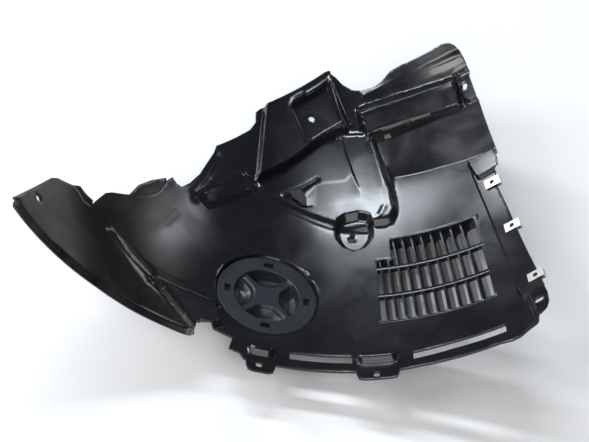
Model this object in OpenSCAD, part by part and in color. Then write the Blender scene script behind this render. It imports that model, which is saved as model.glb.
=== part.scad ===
// Front wheel arch liner of a car, lying on its back with the wheel side up.
// The moulding is a band turned about the wheel axis. The rim faces -Y, the
// inboard edge +Y, and angles along the arch are counted from its lowest
// point, positive toward the broad end and negative toward the tail.

/* [Arch] */
// radius of the wheel side face at the rim
arch_r = 325; // [280:1:380]
// distance from the rim to the inboard edge
reach = 380; // [330:1:430]
// how far the inboard edge closes in on the wheel axis
rise = 110; // [70:1:140]
// wall of the moulding
wall = 2.5; // [2:0.1:3.5]
// depth of the flange along the lower edge of the tail
tail_flange = 8; // [4:0.5:14]

/* [Access cover] */
// diameter of the cover flange
cover_d = 106; // [96:1:116]
// diameter of the dished middle
dish_d = 70; // [60:1:76]
// depth of the dish
dish_deep = 13; // [8:0.5:18]
// reach of the bayonet lugs past the spigot
lug_out = 9; // [6:0.5:11]
// width of a lug and of the window above it
lug_w = 10; // [7:0.5:14]
// thickness of a lug
lug_t = 2.2; // [1.6:0.1:3]
// running clearance round the cover
cover_gap = 0.4; // [0.3:0.05:0.8]

/* [Vent grille] */
// depth of the upright vanes
vane_deep = 13; // [8:0.5:18]
// thickness of a vane
vane_t = 2.2; // [1.6:0.1:3]
// height of a cross bar
bar_w = 4.5; // [3:0.5:7]
// depth of a cross bar
bar_deep = 5; // [3:0.5:9]

/* [Relief] */
// height of the long rib beside the inboard edge
rib_up = 14; // [8:0.5:20]
// height of the flat plate that carries the square pocket
plate_up = 12; // [8:0.5:16]
// depth of the square pocket below the plate
pocket_deep = 7; // [4:0.5:10]
// height of the platform between the square pocket and the screw boss
platform_up = 6; // [4:0.5:8]
// height of the bead along the top flange
bead_up = 2.5; // [1.5:0.5:4]
// height of the low panel on the left shoulder
shoulder_up = 3; // [2:0.5:5]
// depth of the screw boss recess
boss_deep = 12; // [8:0.5:18]
// height of the three cornered pad on the tail
pad_up = 6; // [4:0.5:9]
// height of the tail swage
swage_up = 4; // [2.5:0.5:6]
// step up to the clip flange
flange_up = 5; // [3.5:0.5:8]
// height of the block at the flange end
block_up = 10; // [7:0.5:14]
// height of the pad round the upper screw hole
hole_pad_up = 3; // [2:0.5:5]
// height of the tab ledges
ledge_up = 7; // [4:0.5:10]

/* [Fasteners] */
// radius of the screw holes in the tabs
tab_hole_r = 3.4; // [2.5:0.1:4.5]
// radius of the other screw holes
screw_hole_r = 3.6; // [2.5:0.1:5]
// width of the corner slot
slot_w = 6; // [4:0.5:8]
// length of the corner slot
slot_l = 10; // [8:0.5:14]
// length of a spring clip along the arch
clip_l = 17; // [13:0.5:22]
// width of a spring clip
clip_w = 11; // [8:0.5:15]
// sheet thickness of a spring clip
clip_t = 0.8; // [0.6:0.1:1.2]
// radius of the hole through a spring clip
clip_hole_r = 2.6; // [2:0.1:3.5]

/* [Hidden] */
$fn = 96;

// power that shapes how the closing in grows from the rim to the inboard edge
rise_curve_share = 2.2;
// facets of the meridian curve
steps = 12;
// overrun of every cut
over = 3;
// the same past the ends of a turned layer
over_deg = 1;
// how far the skin is turned before it is cut to its outline
skin_arc_deg = [-70, 39];

// radius of the wheel side face at distance v from the rim
function rho(v) = arch_r - rise * pow(max(v, 0) / reach, rise_curve_share);
function lean(v) = rise * rise_curve_share / reach * pow(max(v, 0) / reach, rise_curve_share - 1);
function back(v) = rho(v) + wall * sqrt(1 + pow(lean(v), 2));
function lean_deg(s) = atan(lean(s * reach));
// arch angle taken up by a length along the rim
function arc_deg(l) = l / arch_r * 180 / PI;

// place of an arch angle and a share of the reach, seen along the radius at a
function seen(p, a) = [rho(p[1] * reach) * sin(p[0] - a), p[1] * reach];
// the same point on the plane that touches the face at c
function laid(p, c) = [rho(c[1] * reach) * sin(p[0] - c[0]),
    (p[1] - c[1]) * reach / cos(lean_deg(c[1]))];
// an outline drawn in by w, each side kept parallel
function sum(v, i = 0) = i < len(v) ? v[i] + sum(v, i + 1) : 0;
function around(pts) = sign(sum([for (i = [0 : len(pts) - 1]) cross(pts[i], pts[(i + 1) % len(pts)])]));
function drawn_in(pts, w) = let (n = len(pts), s = around(pts)) [for (i = [0 : n - 1])
    let (a = pts[(i + n - 1) % n], b = pts[i], c = pts[(i + 1) % n],
        u = (b - a) / norm(b - a), v = (c - b) / norm(c - b),
        m = s * [-u[1], u[0]], k = s * [-v[1], v[0]])
    b + w * (m + k) / (1 + m * k)];

// a profile of [radius, -distance] turned about the wheel axis from a to b
module turned(a, b)
    rotate([90, 0, 0]) rotate([0, 0, a - 90])
        rotate_extrude(angle = b - a, $fn = 240) children();

// a prism along the radius at angle a
module radial_prism(a, outline, inset = 0)
    rotate([0, -a, 0]) translate([0, 0, -arch_r - reach / 4])
        linear_extrude(arch_r) polygon(drawn_in([for (p = outline) seen(p, a)], inset));

// the band of the moulding between two depths past the face
module layer(s0, s1, lo, hi, n = 6) {
    v0 = s0 * reach;
    dv = (s1 - s0) * reach;
    polygon(concat(
        [for (i = [0 : n]) let (v = v0 + dv * i / n) [rho(v) + lo, -v]],
        [for (i = [n : -1 : 0]) let (v = v0 + dv * i / n) [rho(v) + hi, -v]]));
}
function least(pts, k) = min([for (p = pts) p[k]]);
function most(pts, k) = max([for (p = pts) p[k]]);
// an outline raised over the face, and the hollow behind it
module lifted(a, pts, up, foot = wall / 2, more = 0) intersection() {
    turned(least(pts, 0) - over_deg, most(pts, 0) + over_deg)
        layer(least(pts, 1) - more / reach, most(pts, 1) + more / reach, -up, foot);
    radial_prism(a, pts);
}
module lifted_hollow(a, pts, up, down = wall * 3) intersection() {
    turned(least(pts, 0) - over_deg, most(pts, 0) + over_deg)
        layer(least(pts, 1), most(pts, 1), -up + wall, down);
    radial_prism(a, pts, wall);
}

// the plane that touches the face at [angle, share], Z toward the wheel
module on_face(c)
    rotate([0, -c[0], 0]) translate([0, c[1] * reach, -rho(c[1] * reach)])
        rotate([lean_deg(c[1]), 0, 0]) children();

module slab_at(z0, z1) translate([0, 0, z0]) linear_extrude(z1 - z0) children();

module skin(s0, s1) {
    v0 = s0 * reach;
    dv = (s1 - s0) * reach;
    polygon(concat(
        [for (i = [0 : steps]) let (v = v0 + dv * i / steps) [rho(v), -v]],
        [for (i = [steps : -1 : 0]) let (v = v0 + dv * i / steps) [back(v), -v]]));
}

// a band that stands up over the face: the four places are shares of the reach
module band(s, up) polygon([
    [rho(s[0] * reach) + wall / 2, -s[0] * reach], [rho(s[1] * reach) - up, -s[1] * reach],
    [rho(s[2] * reach) - up, -s[2] * reach], [rho(s[3] * reach) + wall / 2, -s[3] * reach]]);
module band_hollow(s, up) polygon([
    [back(s[0] * reach) + over, -s[0] * reach - wall],
    [rho(s[1] * reach) - up + wall, -s[1] * reach - wall / 2],
    [rho(s[2] * reach) - up + wall, -s[2] * reach + wall / 2],
    [back(s[3] * reach) + over, -s[3] * reach + wall]]);

// outlines and places, each point an arch angle in degrees and a share of the reach
tail_axis_deg = -48;
body_axis_deg = 5;
split_deg = -27.3;
tail_outline_shares = [[-68.2, 0.016], [-62.7, 0.012], [-55.4, 0.016], [-46.1, 0.022],
    [-38.7, 0.021], [-31.7, 0.024], [split_deg, 0.025], [split_deg, 0.085], [-25.4, 0.085],
    [-25.4, 0.73], [split_deg, 0.712], [-29.5, 0.693], [-29.8, 0.668], [-31.6, 0.583], [-33.2, 0.539], [-34.6, 0.514], [-35.8, 0.515],
    [-37.2, 0.527], [-38, 0.51], [-39, 0.464], [-40.7, 0.428], [-45.7, 0.376],
    [-48.4, 0.35], [-49.6, 0.332], [-50.9, 0.287], [-51.7, 0.252], [-53.4, 0.248],
    [-55, 0.262], [-56.6, 0.262], [-60.3, 0.232], [-61.5, 0.212]];
body_outline_shares = [[-29.6, 0.058], [-26.7, 0.058], [-26.2, 0.066], [-24.7, 0.074], [-22.8, 0.068],
    [-20, 0.058], [-20.6, 0.016], [-18.6, 0.009], [-17.8, -0.01], [-7.9, -0.016],
    [1.7, -0.018], [9.5, -0.02], [13, -0.016], [27.3, -0.011], [29.4, -0.017],
    [30.9, -0.015], [32.4, -0.004], [34, 0.005], [35.9, 0.008], [37.2, 0.019],
    [37.9, 0.04], [38, 0.07], [37.4, 0.123], [37, 0.165], [34.9, 0.43], [34.3, 0.505],
    [34.3, 0.545], [34.9, 0.561], [36, 0.568], [36.4, 0.59], [36.3, 0.65], [37, 0.804],
    [37.6, 0.894], [38, 0.955], [37.6, 0.985], [36.4, 0.999], [33.1, 1], [19.5, 0.994],
    [16.2, 0.985], [13.3, 0.962], [10.6, 0.947], [7.1, 0.943], [4.2, 0.947],
    [1.3, 0.965], [-0.5, 0.984], [-2, 0.994], [-3.8, 0.988], [-21.2, 0.854],
    [-22, 0.841], [-21.5, 0.812], [-22.6, 0.782], [split_deg, 0.722], [-29.6, 0.694]];

// long rib
rib_arc_deg = [5.4, 33.2];
rib_shares = [0.788, 0.801, 0.859, 0.905];
bead_arc_deg = [8, 37.4];
bead_shares = [0.93, 0.936, 0.95, 0.956];
// flat plate with the square pocket
plate_axis_deg = -9;
plate_shares = [[-20.4, 0.854], [-3.8, 0.982], [-2.2, 0.985], [2.3, 0.812], [-4.3, 0.779],
    [-12, 0.69], [-19, 0.62]];
pocket_shares = [[-13.4, 0.864], [-2.8, 0.945], [0.9, 0.831], [-4, 0.797], [-8, 0.762]];
// the pocket with its walls
pocket_wall_shares = [[-14, 0.869], [-2.4, 0.956], [1.9, 0.832], [-4, 0.785], [-8.4, 0.751]];
pocket_hole_shares = [-7.2, 0.846];
// platform between the pocket and the screw boss, with the recess of the edge clip
platform_axis_deg = 0;
platform_shares = [[-15.6, 0.573], [-13.2, 0.563], [-8.6, 0.537], [-4.3, 0.524], [-0.7, 0.515],
    [7.1, 0.507], [9.4, 0.507], [10.9, 0.518], [11.8, 0.546], [11.9, 0.581], [10.9, 0.675],
    [9.4, 0.795], [1.2, 0.795], [2, 0.748], [3.5, 0.682], [4.9, 0.62], [4.7, 0.594], [2.4, 0.585],
    [-3.7, 0.573], [-7, 0.565], [-8.5, 0.564], [-9.6, 0.58], [-11, 0.588], [-15.6, 0.602]];
// the two parts of the platform that are hollow behind, left and right of the boss
platform_left_shares = [[-15.6, 0.573], [-13.2, 0.563], [-8.6, 0.537], [-4.3, 0.524], [-3.4, 0.525],
    [-3.4, 0.571], [-7, 0.565], [-8.5, 0.564], [-9.6, 0.58], [-11, 0.588], [-15.6, 0.602]];
platform_right_shares = [[8.6, 0.532], [11.3, 0.532], [11.8, 0.546], [11.9, 0.581], [10.9, 0.675],
    [9.4, 0.795], [1.2, 0.795], [2, 0.748], [3.5, 0.682], [4.9, 0.62], [5.2, 0.588], [8.6, 0.56]];
// screw boss
boss_at_shares = [2.3, 0.487];
boss_lean_deg = 12;
boss_shares = [[-1.2, 0.505], [-0.6, 0.535], [1, 0.55], [3.8, 0.554], [6.2, 0.54], [6.9, 0.515],
    [6.6, 0.475], [5, 0.442], [2.6, 0.43], [0.4, 0.445], [-0.9, 0.475]];
// low panel on the left shoulder
shoulder_axis_deg = -26;
shoulder_shares = [[-31.5, 0.515], [-23, 0.65], [-17.8, 0.62], [-18.2, 0.6], [-24, 0.525],
    [-28, 0.485]];
// clip flange
flange_axis_deg = 34;
flange_shares = [[29.4, 0.6], [32.3, 0.134], [32.6, 0.11], [34.2, 0.1], [34.4, -0.03],
    [40, -0.03], [38, 0.6]];
block_shares = [[29.2, 0.634], [30.5, 0.552], [37.5, 0.558], [37.5, 0.634]];
hole_pad_shares = [[34.2, 0.892], [33.2, 0.825], [38.5, 0.815], [38.9, 0.892]];
// tail
tail_low_axis_deg = -30;
pad_shares = [[-37.2, 0.16], [-27.6, 0.03], [-22.2, 0.086], [-23.6, 0.158]];
swage_shares = [[-46.4, 0.226], [-41.8, 0.214], [-37.2, 0.201], [-30.9, 0.194], [-23.6, 0.168],
    [-22.8, 0.158], [-23.6, 0.15], [-37, 0.15], [-41.4, 0.182]];
tail_hole_shares = [-62.7, 0.109];
tail_flange_share = 0.02;
tail_flange_arc_deg = [-66.5, -28.3];
flap_shares = [[-45.2, 0.36], [-44.4, 0.402], [-43.4, 0.443], [-41, 0.487], [-38.3, 0.52],
    [-37.4, 0.496], [-39.3, 0.42], [-41.5, 0.355]];
bracket_shares = [[-57, 0.24], [-56.3, 0.272], [-54.9, 0.29], [-53, 0.284], [-51.3, 0.284],
    [-51, 0.225], [-54, 0.218]];
// rim
slot_one_axis_deg = -4;
slot_one_shares = [[-9.7, 0.017], [1.3, 0.013], [1.3, 0.04], [-9.7, 0.043]];
slot_two_axis_deg = 20;
slot_two_shares = [[12, 0.011], [19, 0.02], [28.8, 0.021], [28.8, 0.047], [19, 0.045], [12, 0.037]];
tab_one_arc_deg = [-17.4, -12.2];
tab_two_arc_deg = [1.9, 9.4];
tab_shares = [-0.046, 0.008, 0.014, 0.03, 0.042];
tab_one_hole_shares = [-15.1, -0.022];
tab_two_hole_shares = [5.4, -0.031];
hole_pad_hole_shares = [35.2, 0.854];
corner_hole_shares = [36.2, 0.055];
clip_shares = [[34.3, 0.53], [35.45, 0.36], [37.1, 0.154]];
clip_gap = clip_t * 0.4;
// slant of the flange edge across the clips
clip_slant_deg = 7.5;
// the hollow face rises this far toward the ends of a clip
clip_rise = pow(clip_l, 2) / arch_r / 2;
// the flange edge leans outward with its height, because it is cut along the body axis
function clip_edge(c) = (flange_up + clip_t) * tan(c[0] - body_axis_deg) + clip_gap * 2
    + clip_w / 2 * tan(clip_slant_deg);
// the middle of clip k on the face, X along the arch
module at_clip(k) on_face(clip_shares[k])
    translate([clip_edge(clip_shares[k]) - clip_l / 2, 0, 0]) children();
cover_at_shares = [-14.2, 0.243];

// seat of the access cover
seat_r = cover_d / 2 + cover_gap * 3;
spigot_r = dish_d / 2 + wall;
seat_hole_r = spigot_r + cover_gap;

// vent grille
grille_arc_deg = [6.9, 28];
grille_top_arc_deg = [9.8, 27.4];
grille_rows_shares = [0.165, 0.26, 0.358, 0.457];
grille_notch_share = 0.388;
vanes = 11;
vane_growth_share = 1.15;
vane_lean_deg = 8;
function vane_deg(i) = grille_arc_deg[0]
    + (grille_arc_deg[1] - grille_arc_deg[0]) * pow(i / vanes, vane_growth_share);

module meridian_plate(deg, t)
    rotate([90, 0, 0]) rotate([0, 0, deg - 90]) rotate([90, 0, 0])
        linear_extrude(t, center = true) children();
module vane_outline(s0, s1, deep, from = 0) {
    v0 = s0 * reach;
    v1 = s1 * reach;
    polygon(concat([for (i = [0 : 4]) let (v = v0 + (v1 - v0) * i / 4) [rho(v) + from, -v]],
        [for (i = [4 : -1 : 0]) let (v = v0 + (v1 - v0) * i / 4) [rho(v) + deep, -v]]));
}

module grille() {
    top = grille_rows_shares[3];
    low = grille_rows_shares[0];
    edge = wall / reach;
    for (i = [1 : vanes - 1]) {
        s1 = vane_deg(i) < grille_top_arc_deg[0] ? grille_notch_share : top;
        turn_in_place(vane_deg(i), vane_lean_deg)
            meridian_plate(vane_deg(i), vane_t)
                vane_outline(low - edge / 2, s1 + edge / 2, vane_deep, wall * 0.2);
    }
    for (r = [1, 2]) turned(grille_arc_deg[0] - arc_deg(wall) / 2, grille_arc_deg[1] + arc_deg(wall) / 2)
        vane_outline(grille_rows_shares[r] - bar_w / 2 / reach,
            grille_rows_shares[r] + bar_w / 2 / reach, bar_deep, wall * 0.3);
}
module turn_in_place(deg, by)
    rotate([0, -deg, 0]) translate([0, 0, -arch_r]) rotate([0, -by, 0])
        translate([0, 0, arch_r]) rotate([0, deg, 0]) children();

module grille_window() {
    turned(grille_arc_deg[0], grille_arc_deg[1])
        window_profile(grille_rows_shares[0], grille_notch_share);
    turned(grille_top_arc_deg[0], grille_top_arc_deg[1])
        window_profile(grille_rows_shares[1], grille_rows_shares[3]);
}
module window_profile(s0, s1) polygon([
    [rho(s0 * reach) - vane_deep, -s0 * reach], [rho(s0 * reach) + vane_deep * 2, -s0 * reach],
    [rho(s1 * reach) + vane_deep * 2, -s1 * reach], [rho(s1 * reach) - vane_deep, -s1 * reach]]);
// walls that hang behind the face round the window
module grille_frame() {
    e = wall / reach;
    d = arc_deg(wall);
    for (r = [[grille_arc_deg, grille_rows_shares[0], grille_notch_share],
        [grille_top_arc_deg, grille_rows_shares[2], grille_rows_shares[3]]])
        turned(r[0][0] - d, r[0][1] + d)
            vane_outline(r[1] - e, r[2] + e, vane_deep + wall / 2, wall / 2);
}

module tab(arc, hole) {
    turned(arc[0], arc[1]) polygon([
        [rho(0) - wall / 2, -tab_shares[0] * reach], [back(0), -tab_shares[0] * reach],
        [back(0), -tab_shares[4] * reach], [rho(0) - wall / 2, -tab_shares[4] * reach]]);
    turned(arc[0], arc[1]) band([tab_shares[1], tab_shares[2], tab_shares[3], tab_shares[4]], ledge_up);
}
module tab_hollow(arc) {
    d = arc_deg(wall);
    turned(arc[0] + d, arc[1] - d)
        band_hollow([tab_shares[1], tab_shares[2], tab_shares[3], tab_shares[4]], ledge_up);
}

module bore(c, r, tip = 0) on_face(c) rotate([-tip, 0, 0])
    translate([0, 0, -arch_r / 8]) cylinder(h = arch_r / 4, r = r, $fn = 48);
// a flap that hangs behind the edge
module dropped(a, pts) intersection() {
    turned(least(pts, 0) - over_deg, most(pts, 0) + over_deg)
        layer(least(pts, 1), most(pts, 1), wall / 2, wall * 1.6);
    radial_prism(a, pts);
}

module sunk(c, shares, deep, tip)
    on_face(c) rotate([-tip, 0, 0]) translate([0, 0, -deep - wall]) linear_extrude(deep + wall / 2)
        polygon(drawn_in([for (p = shares) laid(p, c)], -wall));
module sunk_hollow(c, shares, deep, tip)
    on_face(c) rotate([-tip, 0, 0]) translate([0, 0, -deep]) linear_extrude(deep * 2)
        polygon([for (p = shares) laid(p, c)]);

module arch_liner() color([0.09, 0.09, 0.1]) settled() difference() {
    union() {
        difference() {
            intersection() {
                union() {
                    turned(skin_arc_deg[0], skin_arc_deg[1]) skin(-0.03, 1.01);
                    lifted(flange_axis_deg, flange_shares, flange_up);
                    lifted(flange_axis_deg, block_shares, block_up);
                    lifted(flange_axis_deg, hole_pad_shares, hole_pad_up);
                }
                union() {
                    radial_prism(tail_axis_deg, tail_outline_shares);
                    radial_prism(body_axis_deg, body_outline_shares);
                }
            }
            grille_window();
        }
        difference() {
            grille_frame();
            grille_window();
        }
        grille();
        turned(rib_arc_deg[0], rib_arc_deg[1]) band(rib_shares, rib_up);
        turned(bead_arc_deg[0], bead_arc_deg[1]) band(bead_shares, bead_up);
        lifted(plate_axis_deg, plate_shares, plate_up);
        lifted(platform_axis_deg, platform_shares, platform_up);
        lifted(shoulder_axis_deg, shoulder_shares, shoulder_up, more = wall);
        lifted(tail_low_axis_deg, pad_shares, pad_up, more = wall);
        lifted(tail_low_axis_deg, swage_shares, swage_up);
        turned(tail_flange_arc_deg[0], tail_flange_arc_deg[1])
            polygon([for (p = [[0, 0], [0, 1], [1, 1], [1, 0]])
                [rho(0) + p[0] * tail_flange, -(tail_flange_share * reach + p[1] * wall)]]);
        tab(tab_one_arc_deg);
        tab(tab_two_arc_deg);
        on_face(cover_at_shares) translate([0, 0, -wall * 2]) cylinder(h = wall * 3, r = seat_r + wall);
        sunk(boss_at_shares, boss_shares, boss_deep, boss_lean_deg);
        dropped(tail_axis_deg, flap_shares);
        dropped(tail_axis_deg, bracket_shares);
    }
    turned(rib_arc_deg[0] + arc_deg(wall * 1.4), rib_arc_deg[1] - arc_deg(wall * 1.4))
        band_hollow(rib_shares, rib_up);
    lifted_hollow(plate_axis_deg, plate_shares, plate_up - pocket_deep);
    difference() {
        lifted_hollow(plate_axis_deg, plate_shares, plate_up);
        lifted(plate_axis_deg, pocket_wall_shares, plate_up + over);
    }
    lifted(plate_axis_deg, pocket_shares, plate_up + over, -plate_up + pocket_deep);
    lifted_hollow(platform_axis_deg, platform_left_shares, platform_up);
    lifted_hollow(platform_axis_deg, platform_right_shares, platform_up);
    lifted_hollow(flange_axis_deg, flange_shares, flange_up);
    lifted_hollow(flange_axis_deg, block_shares, block_up);
    lifted_hollow(tail_low_axis_deg, pad_shares, pad_up);
    sunk_hollow(boss_at_shares, boss_shares, boss_deep, boss_lean_deg);
    tab_hollow(tab_one_arc_deg);
    tab_hollow(tab_two_arc_deg);
    on_face(cover_at_shares) {
        translate([0, 0, -wall]) cylinder(h = wall * 6, r = seat_r);
        translate([0, 0, -wall * 4]) cylinder(h = wall * 6, r = seat_hole_r);
        for (k = [0 : 3]) rotate([0, 0, k * 90 + lug_open_deg])
            translate([0, -lug_w / 2 - cover_gap, -wall * 4])
                cube([spigot_r + lug_out + cover_gap, lug_w + cover_gap * 2, wall * 6]);
    }
    radial_prism(slot_one_axis_deg, slot_one_shares);
    radial_prism(slot_two_axis_deg, slot_two_shares);
    bore(tail_hole_shares, screw_hole_r);
    bore(pocket_hole_shares, screw_hole_r);
    bore(boss_at_shares, screw_hole_r, boss_lean_deg);
    bore(hole_pad_hole_shares, screw_hole_r);
    bore(tab_one_hole_shares, tab_hole_r);
    bore(tab_two_hole_shares, tab_hole_r);
    for (k = [-1, 1]) on_face(corner_hole_shares) translate([k * (slot_l - slot_w) / 2, 0, -arch_r / 8])
        cylinder(h = arch_r / 4, r = slot_w / 2, $fn = 48);
    on_face(corner_hole_shares) cube([slot_l - slot_w, slot_w, arch_r / 4], center = true);
    for (k = [0 : len(clip_shares) - 1]) at_clip(k) translate([0, 0, -arch_r / 8])
        cylinder(h = arch_r / 4, r = clip_hole_r, $fn = 48);
}
// turn from locked to open, in degrees
lug_open_deg = 30;
// flat middle of the grip, and the width of its arms
grip_share = 0.36;
arm_share = 0.075;
module access_cover() color([0.13, 0.14, 0.17]) settled() on_face(cover_at_shares)
    translate([0, 0, -wall + cover_gap / 2]) difference() {
        union() {
            cylinder(h = wall, r = cover_d / 2);
            translate([0, 0, -dish_deep]) cylinder(h = dish_deep + wall, r = spigot_r);
            for (k = [0 : 3]) rotate([0, 0, k * 90])
                translate([spigot_r - wall, -lug_w / 2, -wall - cover_gap * 1.5 - lug_t])
                    cube([lug_out + wall - cover_gap, lug_w, lug_t]);
        }
        difference() {
            translate([0, 0, wall - dish_deep]) cylinder(h = dish_deep + over, r = dish_d / 2);
            grip();
        }
        for (k = [0 : 3]) rotate([0, 0, k * 90])
            translate([spigot_r + wall / 2, -lug_w / 2, -wall])
                cube([lug_out - wall, lug_w, wall * 3]);
    }
// a square middle with an arm from each corner to the wall of the dish
module grip() {
    mid = dish_d * grip_share / 2;
    arm = dish_d * arm_share / 2;
    far = dish_d / 2 + wall / 2;
    translate([0, 0, -dish_deep]) linear_extrude(dish_deep + wall / 2) {
        square(mid * 2, center = true);
        for (k = [0 : 3]) rotate([0, 0, 45 + k * 90]) polygon([[0, -mid], [mid * 1.3, -arm * 1.6],
            [far, -arm * 1.4], [far, arm * 1.4], [mid * 1.3, arm * 1.6], [0, mid]]);
    }
}

// a folded sheet nut pushed over the edge of the flange
module spring_clips() color([0.75, 0.74, 0.68]) settled()
    for (k = [0 : len(clip_shares) - 1])
    at_clip(k) translate([-clip_l / 2, -clip_w / 2, flange_up]) difference() {
        union() {
            for (z = [clip_gap + clip_rise, clip_low]) translate([0, 0, z]) cube([clip_l, clip_w, clip_t]);
            translate([clip_l - clip_t / 2, 0, clip_low])
                cube([clip_t, clip_w, clip_gap + clip_rise + clip_t - clip_low]);
        }
        translate([clip_l / 2, clip_w / 2, 0])
            cylinder(h = arch_r / 4, r = clip_hole_r, center = true, $fn = 48);
    }
// underside of the lower leaf
clip_low = -wall - clip_t - clip_gap * 2;

// a small clip that lies in the hollow below the plate
edge_clip_at_shares = [-9, 0.6];
edge_clip_shares = [[-11.1, 0.617], [-10.6, 0.596], [-9, 0.585], [-8.2, 0.572], [-7.2, 0.574],
    [-7.4, 0.6], [-8.6, 0.625]];
module edge_clip() color([0.05, 0.05, 0.05]) settled() on_face(edge_clip_at_shares)
    translate([0, 0, clip_gap * 1.5]) linear_extrude(wall)
        polygon([for (p = edge_clip_shares) laid(p, edge_clip_at_shares)]);

// how the part comes to rest on the floor, and where the floor lies under it
rest_tilt_deg = -12.8;
rest_roll_deg = -7.8;
rest_shares = [0.0811, -0.3188, 1.0814];
module settled() translate([arch_r * rest_shares[0], reach * rest_shares[1], arch_r * rest_shares[2]])
    rotate([rest_tilt_deg, rest_roll_deg, 0]) children();

arch_liner();
access_cover();
spring_clips();
edge_clip();
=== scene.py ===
import math
import bpy
import numpy as np
from mathutils import Matrix, Vector, geometry


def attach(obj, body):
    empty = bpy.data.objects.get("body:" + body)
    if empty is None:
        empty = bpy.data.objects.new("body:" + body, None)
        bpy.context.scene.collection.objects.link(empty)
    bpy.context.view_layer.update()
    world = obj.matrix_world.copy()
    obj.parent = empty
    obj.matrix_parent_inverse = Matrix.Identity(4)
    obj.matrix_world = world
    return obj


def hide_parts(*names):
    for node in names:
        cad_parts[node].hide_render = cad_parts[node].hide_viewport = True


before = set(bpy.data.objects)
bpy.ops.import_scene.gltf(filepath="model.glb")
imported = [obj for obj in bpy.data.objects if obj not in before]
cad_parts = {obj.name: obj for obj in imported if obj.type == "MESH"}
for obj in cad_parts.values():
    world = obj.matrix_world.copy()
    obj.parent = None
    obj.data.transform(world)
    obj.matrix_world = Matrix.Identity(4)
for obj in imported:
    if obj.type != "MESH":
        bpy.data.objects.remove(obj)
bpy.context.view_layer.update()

mm = 0.001
print("stage: frame loaded")

# the arch, as part.scad has it, in millimetres and degrees
arch = {"r": 325.0, "reach": 380.0, "rise": 110.0, "power": 2.2, "wall": 2.5}
rest = {"tilt": -12.8, "roll": -7.8, "shares": (0.0811, -0.3188, 1.0814)}
flatR = 300.0


def turnX(deg):
    c, s = math.cos(math.radians(deg)), math.sin(math.radians(deg))
    return np.array([[1, 0, 0], [0, c, -s], [0, s, c]])


def turnY(deg):
    c, s = math.cos(math.radians(deg)), math.sin(math.radians(deg))
    return np.array([[c, 0, s], [0, 1, 0], [-s, 0, c]])


restTurn = turnY(rest["roll"]) @ turnX(rest["tilt"])
restMove = np.array([arch["r"], arch["reach"], arch["r"]]) * np.array(rest["shares"])


def settled(p):
    return (np.asarray(p, float) @ restTurn.T + restMove) * mm


def rho(v):
    return arch["r"] - arch["rise"] * (np.maximum(v, 0) / arch["reach"]) ** arch["power"]


def leanAt(v):
    return arch["rise"] * arch["power"] / arch["reach"] * (np.maximum(v, 0) / arch["reach"]) ** (arch["power"] - 1)


# flat coordinates of the sheet: arc length at a mean radius, and distance from the rim
def flat(points):
    p = np.asarray(points, float)
    return np.stack([np.radians(p[..., 0]) * flatR, p[..., 1] * arch["reach"]], -1)


def bent(q, up):
    # a flat point goes to its place on the arch, lifted toward the wheel axis by up
    a, v = q[:, 0] / flatR, q[:, 1]
    r = rho(v) - up
    return settled(np.stack([r * np.sin(a), v, -r * np.cos(a)], -1))


def alongSight(points, axis, step=3.0):
    # an outline drawn with straight sides as seen along the radius at axis
    pts = np.asarray(points, float)
    out = []
    n = len(pts)
    for i in range(n):
        a, b = pts[i], pts[(i + 1) % n]
        va, vb = a[1] * arch["reach"], b[1] * arch["reach"]
        xa = rho(va) * math.sin(math.radians(a[0] - axis))
        xb = rho(vb) * math.sin(math.radians(b[0] - axis))
        k = max(1, int(math.hypot(xb - xa, vb - va) / step))
        for t in np.arange(k) / k:
            v = va + (vb - va) * t
            out.append([axis + math.degrees(math.asin((xa + (xb - xa) * t) / rho(v))), v / arch["reach"]])
    return flat(out)


def signedDistance(p, poly):
    # positive inside the closed outline
    best = np.full(len(p), 1e9)
    inside = np.zeros(len(p), bool)
    for i in range(len(poly)):
        a, b = poly[i], poly[(i + 1) % len(poly)]
        d = b - a
        t = np.clip(((p - a) @ d) / max(d @ d, 1e-12), 0, 1)
        best = np.minimum(best, np.hypot(*(p - a - t[:, None] * d).T))
        if a[1] != b[1]:
            hit = (a[1] > p[:, 1]) != (b[1] > p[:, 1])
            inside ^= hit & (p[:, 0] < a[0] + (p[:, 1] - a[1]) * d[0] / (b[1] - a[1]))
    return np.where(inside, best, -best)


def lineDistance(p, line):
    best = np.full(len(p), 1e9)
    for a, b in zip(line[:-1], line[1:]):
        d = b - a
        t = np.clip(((p - a) @ d) / (d @ d), 0, 1)
        best = np.minimum(best, np.hypot(*(p - a - t[:, None] * d).T))
    return best


def resampled(line, step, closed):
    pts = np.vstack([line, line[:1]]) if closed else line
    seg = np.hypot(*np.diff(pts, axis=0).T)
    at = np.concatenate([[0], np.cumsum(seg)])
    n = max(3, int(at[-1] / step))
    where = np.linspace(0, at[-1], n, endpoint=not closed)
    return np.stack([np.interp(where, at, pts[:, k]) for k in (0, 1)], -1)


def offsetOutline(poly, by):
    # each corner moves inward by the mitre of its two sides
    a, b, c = np.roll(poly, 1, 0), poly, np.roll(poly, -1, 0)
    turn = np.sign(np.sum(a[:, 0] * b[:, 1] - a[:, 1] * b[:, 0]))
    u = (b - a) / np.hypot(*(b - a).T)[:, None]
    v = (c - b) / np.hypot(*(c - b).T)[:, None]
    m = turn * np.stack([-u[:, 1], u[:, 0]], -1)
    k = turn * np.stack([-v[:, 1], v[:, 0]], -1)
    return b + by * (m + k) / np.maximum(1 + np.sum(m * k, -1), 0.35)[:, None]


def ramp(x):
    x = np.clip(x, 0, 1)
    return x * x * (3 - 2 * x)


def rimEllipse(at, r, n=28):
    # a round hole of radius r, in flat coordinates
    c = flat([at])[0]
    k = np.array([flatR / rho(c[1]), 1 / math.hypot(1, leanAt(c[1]))])
    a = np.arange(n) / n * 2 * math.pi
    return c + r * k * np.stack([np.cos(a), np.sin(a)], -1)


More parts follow.
